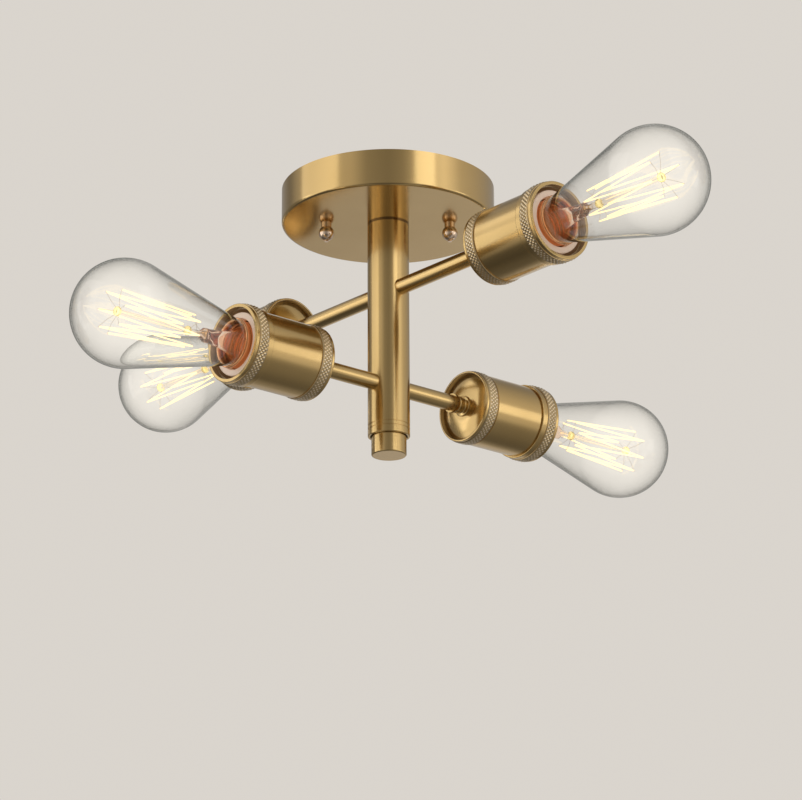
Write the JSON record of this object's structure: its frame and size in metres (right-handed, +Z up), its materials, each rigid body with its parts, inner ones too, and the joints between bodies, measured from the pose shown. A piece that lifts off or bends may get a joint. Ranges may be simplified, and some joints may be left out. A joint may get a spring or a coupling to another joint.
{
  "type": "semi flush ceiling light",
  "caption": "Semi flush ceiling light with a round canopy, a straight stem, crossed arms at two heights and cylindrical sockets with clear pear-shaped filament bulbs.",
  "frame": {"origin": "centre of the canopy in the ceiling plane, on the top face of the mounting bar", "axes": "+Z up into the ceiling along the stem; +X along the mounting bar and the line of the two ball nuts; the upper arms lie at -50 and 130 degrees from +X, the lower arms at -140 and 40 degrees"},
  "size_m": [0.3338, 0.3798, 0.1579],
  "materials": {
    "satin_brass": "satin brushed and lacquered",
    "zinc_steel": "zinc plated",
    "green_screw": "green dyed plating",
    "white_ceramic": "white glaze",
    "shell_brass": "bare",
    "bulb_cap_metal": "bare",
    "black_insulator": "glossy black",
    "clear_glass": "clear",
    "mount_glass": "clear, warm",
    "filament_glow": "emissive, warm white when lit"
  },
  "bodies": {
    "fixture": {"canopy": "satin_brass", "mounting_bar": "zinc_steel", "canopy_studs": "zinc_steel", "ball_nuts": "satin_brass", "ground_screw": "green_screw", "stem_nipple": "zinc_steel", "stem_nut": "zinc_steel", "stem_tube": "satin_brass", "stem_plug": "zinc_steel", "arm_hub_upper": "satin_brass", "arm_hub_lower": "satin_brass", "end_plug": "zinc_steel", "end_cap": "satin_brass", "arm_1": "satin_brass", "arm_2": "satin_brass", "arm_3": "satin_brass", "arm_4": "satin_brass", "arm_collars": "satin_brass", "socket_necks": "satin_brass", "socket_dome_1": "satin_brass", "socket_dome_2": "satin_brass", "socket_dome_3": "satin_brass", "socket_dome_4": "satin_brass", "cup_1": "satin_brass", "cup_2": "satin_brass", "cup_3": "satin_brass", "cup_4": "satin_brass", "front_ring_1": "satin_brass", "front_ring_2": "satin_brass", "front_ring_3": "satin_brass", "front_ring_4": "satin_brass", "lampholder_1": "white_ceramic", "lampholder_2": "white_ceramic", "lampholder_3": "white_ceramic", "lampholder_4": "white_ceramic", "screw_shell_1": "shell_brass", "screw_shell_2": "shell_brass", "screw_shell_3": "shell_brass", "screw_shell_4": "shell_brass", "centre_contacts": "shell_brass"},
    "bulb_1": {"bulb_glass_1": "clear_glass", "bulb_cap_1": "bulb_cap_metal", "bulb_foot_1": "black_insulator", "bulb_mount_1": "mount_glass", "filament_1": "filament_glow"},
    "bulb_2": {"bulb_glass_2": "clear_glass", "bulb_cap_2": "bulb_cap_metal", "bulb_foot_2": "black_insulator", "bulb_mount_2": "mount_glass", "filament_2": "filament_glow"},
    "bulb_3": {"bulb_glass_3": "clear_glass", "bulb_cap_3": "bulb_cap_metal", "bulb_foot_3": "black_insulator", "bulb_mount_3": "mount_glass", "filament_3": "filament_glow"},
    "bulb_4": {"bulb_glass_4": "clear_glass", "bulb_cap_4": "bulb_cap_metal", "bulb_foot_4": "black_insulator", "bulb_mount_4": "mount_glass", "filament_4": "filament_glow"}
  },
  "joints": [
    {"name": "bulb_1_unscrew", "type": "slide", "parent": "fixture", "child": "bulb_1", "axis": [0.6428, -0.766, 0], "range_m": [0, 0.045]},
    {"name": "bulb_2_unscrew", "type": "slide", "parent": "fixture", "child": "bulb_2", "axis": [-0.766, -0.6428, 0], "range_m": [0, 0.045]},
    {"name": "bulb_3_unscrew", "type": "slide", "parent": "fixture", "child": "bulb_3", "axis": [-0.6428, 0.766, 0], "range_m": [0, 0.045]},
    {"name": "bulb_4_unscrew", "type": "slide", "parent": "fixture", "child": "bulb_4", "axis": [0.766, 0.6428, 0], "range_m": [0, 0.045]}
  ]
}
